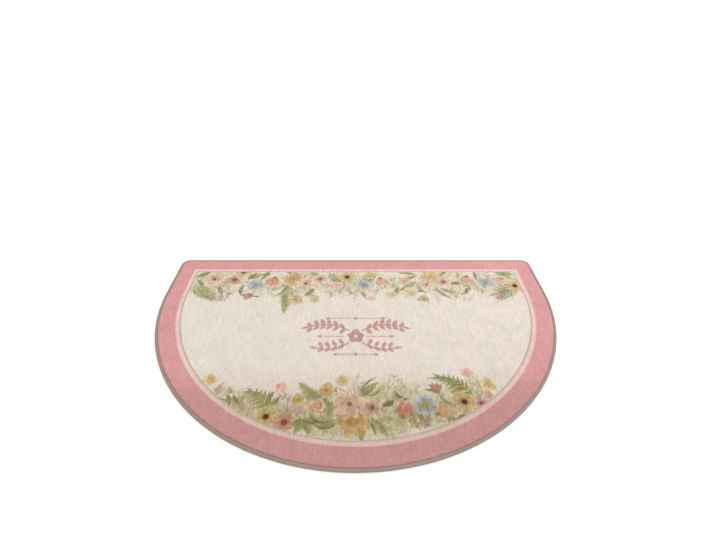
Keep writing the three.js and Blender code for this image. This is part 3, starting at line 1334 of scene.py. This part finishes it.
@dataclass(frozen=True)
class PlushFinish:
    """Dyed plush: the print's colour with a fine grain, soft mottling, painted shade towards the tufts'
    roots and a velvet sheen.
    """

    name: str = "printed_plush"
    grain: tuple[float, float, float] = (240.0, 110.0, 1.0)
    mottle: tuple[float, float, float] = (16.0, 11.0, 1.0)
    painted_root_shade: float = 0.80

    def material(self) -> bpy.types.Material:
        """The finished material."""
        bench = NodeBench(self.name)
        tone = bench.between(bench.layer(TONE_LAYER, "Fac"), 0.0, 1.0, 0.915, 1.075)
        # painted shade: darker towards the tufts' roots and on the ground between them
        depth = bench.between(bench.layer(PAINTED_SHADE_LAYER, "Fac"), 0.0, 1.0, self.painted_root_shade, 1.04)
        grain = bench.noise(self.grain, 0.95, 1.045)
        mottle = bench.noise(self.mottle, 0.98, 1.02)
        shade = bench.product(tone, depth, grain, mottle)
        bench.surface(
            Base_Color=bench.scaled(bench.layer(DYE_LAYER, "Color"), shade),
            Roughness=bench.noise((300.0, 120.0, 60.0), 0.80, 0.96),
            Specular_IOR_Level=0.2,
            Sheen_Weight=0.30,
            Sheen_Roughness=0.5,
            Sheen_Tint=(1.0, 0.96, 0.93, 1.0),
        )
        bench.bump(bench.noise((2600.0, 2600.0, 500.0), 0.0, 1.0), 0.3, 0.0003)
        return bench.material


@dataclass(frozen=True)
class BackingFinish:
    """Plain woven backing on the underside."""

    name: str = "woven_backing"
    thread: float = 0.0022
    colour: tuple[float, float, float] = (0.56, 0.48, 0.40)

    def material(self) -> bpy.types.Material:
        """The finished material."""
        bench = NodeBench(self.name)
        turns = math.tau / self.thread
        place = bench.add("ShaderNodeSeparateXYZ", {"Vector": bench.place((turns, turns, 1.0))})
        warp = bench.add("ShaderNodeMath", {0: place.outputs["X"]}, operation="SINE").outputs[0]
        weft = bench.add("ShaderNodeMath", {0: place.outputs["Y"]}, operation="SINE").outputs[0]
        lift = bench.between(bench.product(warp, weft), -1.0, 1.0, 0.86, 1.06)
        slub = bench.noise((420.0, 60.0, 1.0), 0.92, 1.05)
        bench.surface(
            Base_Color=bench.scaled(self.colour, bench.product(lift, slub)),
            Roughness=bench.noise((90.0, 90.0, 1.0), 0.84, 0.95),
        )
        bench.bump(lift, 0.5, 0.0004)
        return bench.material


@dataclass(frozen=True)
class YarnFinish:
    """Beige overlocking yarn with fine plies and uneven dyeing, with painted shade where it dips between the
    turns.
    """

    name: str = "edge_yarn"
    colour: tuple[float, float, float] = (0.325, 0.247, 0.203)

    def material(self) -> bpy.types.Material:
        """The finished material."""
        bench = NodeBench(self.name)
        ply = bench.noise((1500.0, 1500.0, 900.0), 0.86, 1.10, 2.0)
        length = bench.noise((22.0, 22.0, 22.0), 0.94, 1.05)
        # painted shade: darker in the dips between the wound turns
        painted_dip_shade = bench.between(bench.layer(PAINTED_SHADE_LAYER, "Fac"), 0.0, 1.0, 0.55, 1.05)
        bench.surface(
            Base_Color=bench.scaled(self.colour, bench.product(ply, length, painted_dip_shade)),
            Roughness=bench.noise((700.0, 700.0, 700.0), 0.72, 0.90),
            Specular_IOR_Level=0.3,
            Sheen_Weight=0.15,
        )
        bench.bump(ply, 0.4, 0.0003)
        return bench.material


@dataclass(frozen=True)
class FloorFinish:
    """Plain pale floor."""

    name: str = "pale_floor"
    colour: tuple[float, float, float] = (0.90, 0.90, 0.895)

    def material(self) -> bpy.types.Material:
        """The finished material."""
        bench = NodeBench(self.name)
        clouds = bench.noise((3.0, 3.0, 1.0), 0.99, 1.0)
        bench.surface(Base_Color=bench.scaled(self.colour, clouds), Roughness=0.8)
        return bench.material


# Pieces

@dataclass(frozen=True)
class PileProfile:
    """How high the ground and the tips of the pile stand, from its rim inwards."""

    rim: float = 0.0113
    round_across: float = 0.0032
    round_down: float = 0.0036
    tips: float = 0.0090
    ground: float = 0.0068
    ground_rim: float = 0.0046
    ground_across: float = 0.0034

    def tip_height(self, inset: Array) -> Array:
        """Height of the tips at an inset, rounded towards the rim."""
        gone = np.clip(1.0 - (inset - self.rim) / self.round_across, 0.0, 1.0)
        return self.tips - self.round_down * (1.0 - np.sqrt(1.0 - gone**2))

    def ground_height(self, inset: Array) -> Array:
        """Height of the ground between the tufts at an inset."""
        gone = np.clip(1.0 - (inset - self.rim - 0.0004) / self.ground_across, 0.0, 1.0)
        return self.ground - (self.ground - self.ground_rim) * gone**2


@dataclass
class RugCloth:
    """The rug's backing and the ground of its pile, one closed slab with a thin selvedge round it."""

    outline: HalfRound
    design: FloralPrint
    profile: PileProfile
    underside: float = 0.0002
    selvedge_low: float = 0.0023
    selvedge_high: float = 0.0043
    rim_count: int = 900
    top_pitch: float = 0.0075
    under_pitch: float = 0.040
    selvedge_inset: float = 0.0029
    selvedge_bevel: float = 0.0003
    slab_inset: float = 0.0114
    underside_inset: float = 0.0120
    rise_insets: tuple[float, ...] = (0.0119, 0.0126, 0.0136, 0.0151)
    ground_tone: float = 0.5
    # level of painted shade on the ground between the tufts
    ground_painted_shade_level: float = 0.2
    top_share: float = 0.65

    def section(self) -> list[tuple[float, float]]:
        """The slab's edge as pairs of inset and height, from the underside over the rim to the top."""
        bevelled = self.selvedge_inset + self.selvedge_bevel
        rim = [
            (self.underside_inset, self.underside), (self.slab_inset, self.selvedge_low),
            (bevelled, self.selvedge_low),
            (self.selvedge_inset, (self.selvedge_low + self.selvedge_high) / 2),
            (bevelled, self.selvedge_high), (self.slab_inset, self.selvedge_high),
        ]
        heights = self.profile.ground_height(np.array(self.rise_insets))
        return rim + list(zip(self.rise_insets, heights.tolist()))

    def build(self) -> bpy.types.Object:
        """Builds and dresses the cloth.

        Returns:
            The finished piece.
        """
        places, outward, _ = self.outline.stations(self.rim_count)
        loops = [places - inset * outward for inset, _ in self.section()]
        heights = [height for _, height in self.section()]
        top, top_faces = self.outline.fill(loops[-1], self.top_pitch)
        under, under_faces = self.outline.fill(loops[0], self.under_pitch)
        n = self.rim_count
        rings = [np.column_stack([loop, np.full(n, z)]) for loop, z in zip(loops, heights)]
        top_inner = np.column_stack([top[n:], np.full(len(top) - n, self.profile.ground)])
        under_inner = np.column_stack([under[n:], np.full(len(under) - n, self.underside)])
        vertices = np.concatenate(rings + [top_inner, under_inner])
        last = (len(rings) - 1) * n
        first_top = len(rings) * n
        first_under = first_top + len(top_inner)
        top_faces = np.where(top_faces < n, top_faces + last, top_faces - n + first_top)
        under_faces = np.where(under_faces < n, under_faces, under_faces - n + first_under)[:, ::-1]
        step = np.arange(n)
        after = (step + 1) % n
        bands = [np.stack([step, after, after + n, step + n], axis=1) + k * n for k in range(len(rings) - 1)]
        mesh = raw_mesh("rug_cloth", vertices, [top_faces, under_faces, np.concatenate(bands)])
        self.dress(mesh, vertices)
        return add_object(mesh)

    def dress(self, mesh: bpy.types.Mesh, vertices: Array) -> None:
        """Lays the print, the map and the two finishes on the cloth.

        Args:
            mesh: the cloth's mesh.
            vertices: its vertices, one row each.
        """
        dye_layer(mesh, self.design.colours(vertices[:, 0], vertices[:, 1]))
        number_layer(mesh, TONE_LAYER, np.full(len(vertices), self.ground_tone))
        # painted shade: the ground between the tufts stands low on the root shade ramp
        number_layer(mesh, PAINTED_SHADE_LAYER, np.full(len(vertices), self.ground_painted_shade_level))
        normals = np.empty(len(mesh.polygons) * 3, np.float32)
        mesh.polygons.foreach_get("normal", normals)
        down = normals.reshape(-1, 3)[:, 2] < 0
        mesh.materials.append(PlushFinish("plush_ground").material())
        mesh.materials.append(BackingFinish().material())
        mesh.polygons.foreach_set("material_index", down.astype(np.int32))
        counts = np.empty(len(mesh.polygons), np.int32)
        mesh.polygons.foreach_get("loop_total", counts)
        place = vertices[corner_vertices(mesh), :2]
        u = place[:, 0] / self.outline.width + 0.5
        v = place[:, 1] / self.outline.depth + 0.5
        lower = np.repeat(down, counts)
        under_v = self.top_share + 0.01 + (0.98 - self.top_share) * v
        top_v = 0.01 + (self.top_share - 0.02) * v
        lay_map(mesh, np.stack([u, np.where(lower, under_v, top_v)], axis=1))


@dataclass
class PlushPile:
    """The standing pile: closed tufts on a staggered grid, each in the colour that the print has there."""

    outline: HalfRound
    design: FloralPrint
    profile: PileProfile
    pitch: float = 0.00282
    root_radius: float = 0.0030
    root_depth: float = 0.0004
    rim_inset: float = 0.0119
    rim_lean: float = 0.0009
    nap: Point = (0.0001, -0.0006)
    unevenness: float = 0.00032
    clump_size: Point = (0.0062, 0.0100)
    roll_size: Point = (0.075, 0.060)
    place_scatter: float = 0.14
    height_scatter: float = 0.00016
    tip_scatter: float = 0.00025
    proudest: float = 0.0006
    lean_reach: float = 0.006
    field_parts: int = 4

    def places(self, rng: np.random.Generator) -> tuple[Array, Array]:
        """Where the tufts stand.

        Args:
            rng: the seeded source of chance.

        Returns:
            Their places along X and Y.
        """
        half = self.outline.width / 2
        columns = np.arange(-half, half, self.pitch)
        rows = np.arange(-self.outline.depth / 2, self.outline.depth / 2, self.pitch * math.sqrt(0.75))
        x, y = np.meshgrid(columns, rows)
        x = (x + (np.arange(len(rows)) % 2)[:, None] * self.pitch / 2).ravel()
        y = y.ravel()
        x = x + rng.normal(0.0, self.place_scatter * self.pitch, x.shape)
        y = y + rng.normal(0.0, self.place_scatter * self.pitch, y.shape)
        kept = self.outline.inset_of(x, y) > self.rim_inset
        return x[kept], y[kept]

    def build(self) -> list[bpy.types.Object]:
        """Builds and dresses the pile, the border's tufts first.

        Returns:
            The finished pieces.
        """
        rng = np.random.default_rng(SEED)
        x, y = self.places(rng)
        inset = self.outline.inset_of(x, y)
        tufts = self.shape(x, y, inset, rng)
        colours = self.design.colours(x, y)
        tone = rng.uniform(0.0, 1.0, len(x))
        border = inset < self.design.border * CM
        field_tufts = np.flatnonzero(~border)
        order = field_tufts[np.argsort(y[field_tufts])]
        parts = [np.flatnonzero(border), *np.array_split(order, self.field_parts)]
        names = ["pile_border"] + [f"pile_field_{i + 1}" for i in range(self.field_parts)]
        finish = PlushFinish().material()
        return [
            self.piece(name, tufts[part], colours[part], tone[part], finish)
            for name, part in zip(names, parts)
        ]

    def shape(self, x: Array, y: Array, inset: Array, rng: np.random.Generator) -> Array:
        """The corners of each tuft: three at its root and one at its tip.

        Args:
            x: the tufts' places along X.
            y: the tufts' places along Y.
            inset: how far each lies inside the outline.
            rng: the seeded source of chance.

        Returns:
            An array of tufts by four corners by three numbers.
        """
        clumps = lattice_noise(x, y, *self.clump_size, rng)
        rolling = lattice_noise(x, y, *self.roll_size, rng)
        uneven = self.unevenness * (0.35 * clumps + 0.5 * rolling)
        uneven += rng.normal(0.0, self.height_scatter, x.shape)
        height = self.profile.tip_height(inset - self.rim_lean) + uneven
        height = np.minimum(height, self.profile.tips + self.proudest)
        spin = rng.uniform(0.0, math.tau, x.shape)
        radius = self.root_radius * rng.uniform(0.88, 1.12, x.shape)
        radius = np.minimum(radius, inset - self.profile.rim + 0.0002)
        outward = self.outline.outward_at(x, y)
        lean = self.rim_lean * np.clip(1.0 - (inset - self.rim_inset) / self.lean_reach, 0.0, 1.0) ** 2
        tufts = np.empty((len(x), 4, 3))
        for corner in range(3):
            angle = spin + corner * math.tau / 3
            tufts[:, corner, 0] = x + radius * np.cos(angle)
            tufts[:, corner, 1] = y + radius * np.sin(angle)
            tufts[:, corner, 2] = self.profile.ground_height(inset) - self.root_depth
        brushed = 1.0 + 0.2 * clumps
        for i, place in enumerate((x, y)):
            scatter = rng.normal(0.0, self.tip_scatter, x.shape)
            tufts[:, 3, i] = place + self.nap[i] * brushed + lean * outward[:, i] + scatter
        tufts[:, 3, 2] = height
        return tufts

    def piece(self, name: str, tufts: Array, colours: Array, tone: Array,
              finish: bpy.types.Material) -> bpy.types.Object:
        """One piece of pile.

        Args:
            name: the piece's name.
            tufts: its tufts' corners.
            colours: each tuft's colour.
            tone: each tuft's own lightness, from 0 to 1.
            finish: the plush material.

        Returns:
            The finished piece.
        """
        count = len(tufts)
        vertices = tufts.reshape(-1, 3)
        first = 4 * np.arange(count)[:, None]
        sides = np.array([[0, 1, 3], [1, 2, 3], [2, 0, 3], [0, 2, 1]])
        faces = (first[:, None] + sides[None]).reshape(-1, 3)
        mesh = raw_mesh(name, vertices, [faces])
        dye_layer(mesh, np.repeat(colours, 4, axis=0))
        number_layer(mesh, TONE_LAYER, np.repeat(tone, 4))
        # roots at 0 and tips at 1 on the painted shade ramp
        number_layer(mesh, PAINTED_SHADE_LAYER, np.tile([0.0, 0.0, 0.0, 1.0], count))
        low = vertices[:, :2].min(axis=0)
        span = vertices[:, :2].max(axis=0) - low
        spread = (vertices[corner_vertices(mesh), :2] - low) / span
        root_faces = np.tile(np.repeat([False, False, False, True], 3), count)
        spread[:, 1] = np.where(root_faces, 0.006 * spread[:, 1], 0.012 + 0.988 * spread[:, 1])
        lay_map(mesh, spread)
        mesh.materials.append(finish)
        return add_object(mesh)


@dataclass
class EdgeRoll:
    """The overlocked edge: yarn wound side by side round the selvedge."""

    outline: HalfRound
    width: float = 0.0107
    height: float = 0.0067
    wrap_pitch: float = 0.0028
    ridge: float = 0.00045
    slant: float = 0.0016
    squareness: float = 2.2
    ridge_fullness: float = 0.7
    steps_per_wrap: int = 4
    section_steps: int = 11
    map_rows: int = 8

    def build(self) -> bpy.types.Object:
        """Builds and dresses the roll.

        Returns:
            The finished piece.
        """
        _, _, length = self.outline.stations(16)
        wraps = round(length / self.wrap_pitch)
        count = wraps * self.steps_per_wrap
        places, outward, _ = self.outline.stations(count)
        angle = np.linspace(0.0, math.tau, self.section_steps, endpoint=False)
        half_width = self.width / 2 - self.ridge
        half_height = self.height / 2 - self.ridge / 2
        squared = np.abs(np.cos(angle)) ** self.squareness + np.abs(np.sin(angle)) ** self.squareness
        squared **= -1 / self.squareness
        run = np.arange(count)[:, None] / self.steps_per_wrap
        turn = run + self.slant / self.wrap_pitch * np.sin(angle)[None]
        swell = np.abs(np.cos(math.pi * turn)) ** self.ridge_fullness
        across = (half_width * squared + self.ridge * swell) * np.cos(angle)
        up = (half_height * squared + 0.5 * self.ridge * swell) * np.sin(angle)
        plan = places[:, None] + outward[:, None] * (across - self.width / 2)[..., None]
        vertices = np.concatenate([plan, (up + self.height / 2)[..., None]], axis=2).reshape(-1, 3)
        station = np.arange(count)[:, None] * self.section_steps
        after = (station + self.section_steps) % (count * self.section_steps)
        corner = np.arange(self.section_steps)
        beside = (corner + 1) % self.section_steps
        faces = np.stack([station + corner, after + corner, after + beside, station + beside], axis=2)
        mesh = raw_mesh("edge_roll_yarn", vertices, [faces.reshape(-1, 4)])
        # the turns' swell sets the painted shade in the dips between them
        number_layer(mesh, PAINTED_SHADE_LAYER, swell.ravel())
        lay_map(mesh, self.strip_map(count))
        mesh.materials.append(YarnFinish().material())
        return add_object(mesh)

    def strip_map(self, count: int) -> Array:
        """Lays the long roll out in rows, one above another.

        Args:
            count: stations along the roll.

        Returns:
            Two numbers from 0 to 1 for each corner.
        """
        in_row = math.ceil(count / self.map_rows)
        station = np.repeat(np.arange(count), self.section_steps)
        corner = np.tile(np.arange(self.section_steps), count)
        row = station // in_row
        start = (station % in_row) / in_row
        u = np.stack([start, start + 1 / in_row, start + 1 / in_row, start], axis=1)
        low = corner / self.section_steps
        high = (corner + 1) / self.section_steps
        v = np.stack([low, low, high, high], axis=1)
        v = (row[:, None] + 0.04 + 0.92 * v) / self.map_rows
        return np.stack([0.002 + 0.996 * u, v], axis=2).reshape(-1, 2)


# Floor, light and camera

@dataclass(frozen=True)
class Studio:
    """A pale floor under soft light, which is a little stronger at the back right."""

    floor_size: float = 80.0
    floor_level: float = -0.0004
    sky: float = 0.66
    backdrop: float = 1.03
    sun: float = 1.66
    sun_spread: float = 50.0
    sun_from: tuple[float, float, float] = (0.30, -0.10, 1.35)
    lamp: float = 7.0
    lamp_size: float = 1.4
    lamp_place: tuple[float, float, float] = (1.15, 0.75, 1.25)

    def build(self) -> bpy.types.Object:
        """Builds the floor and the lights.

        Returns:
            The floor.
        """
        half = self.floor_size / 2
        corners = np.array([(-half, -half), (half, -half), (half, half), (-half, half)])
        places = np.column_stack([corners, np.full(4, self.floor_level)])
        mesh = raw_mesh("floor", places, [np.array([[0, 1, 2, 3]])])
        mesh.materials.append(FloorFinish().material())
        self.build_sky()
        sun = bpy.data.lights.new("sun", "SUN")
        sun.energy = self.sun
        sun.angle = math.radians(self.sun_spread)
        self.hang(sun, self.sun_from, (0.0, 0.0, 0.0))
        lamp = bpy.data.lights.new("lamp", "AREA")
        lamp.energy = self.lamp
        lamp.size = self.lamp_size
        self.hang(lamp, self.lamp_place, (0.1, 0.05, 0.0))
        return add_object(mesh)

    def build_sky(self) -> None:
        """Lights the scene from all round, in front of a backdrop as pale as the floor."""
        world = bpy.data.worlds.new("studio_air")
        world.use_nodes = True
        nodes = world.node_tree.nodes
        background = nodes["Background"]
        background.inputs["Color"].default_value = (1.0, 0.99, 0.98, 1.0)
        seen = nodes.new("ShaderNodeLightPath")
        strength = nodes.new("ShaderNodeMapRange")
        strength.inputs["To Min"].default_value = self.sky
        strength.inputs["To Max"].default_value = self.backdrop
        world.node_tree.links.new(seen.outputs["Is Camera Ray"], strength.inputs["Value"])
        world.node_tree.links.new(strength.outputs["Result"], background.inputs["Strength"])
        bpy.context.scene.world = world

    def hang(self, light: bpy.types.Light, place: Sequence[float], aim: Sequence[float]) -> None:
        """Puts a light in the scene.

        Args:
            light: the light.
            place: where it hangs.
            aim: the point that it faces.
        """
        made = bpy.data.objects.new(light.name, light)
        made.location = place
        made.rotation_euler = (Vector(aim) - Vector(place)).to_track_quat("-Z", "Y").to_euler()
        bpy.context.scene.collection.objects.link(made)


@dataclass(frozen=True)
class PhotoCamera:
    """The photograph's viewpoint: a wide lens, level from side to side, in front of the curve."""

    frame_width: int = 716
    focal_pixels: float = 422.1
    centre_pixel: float = 355.7
    pitch_down: float = 37.59
    height: float = 1.169
    from_straight_edge: float = 1.588
    sensor: float = 36.0

    def build(self, outline: HalfRound) -> None:
        """Makes the camera and gives it to the scene.

        Args:
            outline: the rug's plan, whose straight edge the distance is taken from.
        """
        data = bpy.data.cameras.new("photo_camera")
        data.sensor_width = self.sensor
        data.lens = self.focal_pixels / self.frame_width * self.sensor
        data.shift_x = (self.frame_width / 2 - self.centre_pixel) / self.frame_width
        camera = bpy.data.objects.new("photo_camera", data)
        camera.location = (0.0, outline.straight_edge - self.from_straight_edge, self.height)
        camera.rotation_euler = (math.radians(90.0 - self.pitch_down), 0.0, 0.0)
        bpy.context.scene.collection.objects.link(camera)
        bpy.context.scene.camera = camera


def main() -> None:
    """Builds the rug, piece by piece, and the studio round it."""
    logging.basicConfig(level=logging.INFO, format="%(message)s")
    low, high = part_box("edge_roll")
    outline = HalfRound(high[0] - low[0], high[1] - low[1])
    design = FloralPrint(outline)
    profile = PileProfile()
    PhotoCamera().build(outline)
    Studio().build()
    bpy.context.scene.view_settings.view_transform = "Standard"

    cloth = RugCloth(outline, design, profile).build()
    pile = PlushPile(outline, design, profile).build()
    roll = EdgeRoll(outline).build()
    for piece in (cloth, *pile, roll):
        LOG.info("%s: %d faces", piece.name, len(piece.data.polygons))

    for piece in (cloth, *pile):
        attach(piece, "root")
        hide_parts("rug_body")
    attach(roll, "root")
    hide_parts("edge_roll")


if __name__ == "__main__":
    main()
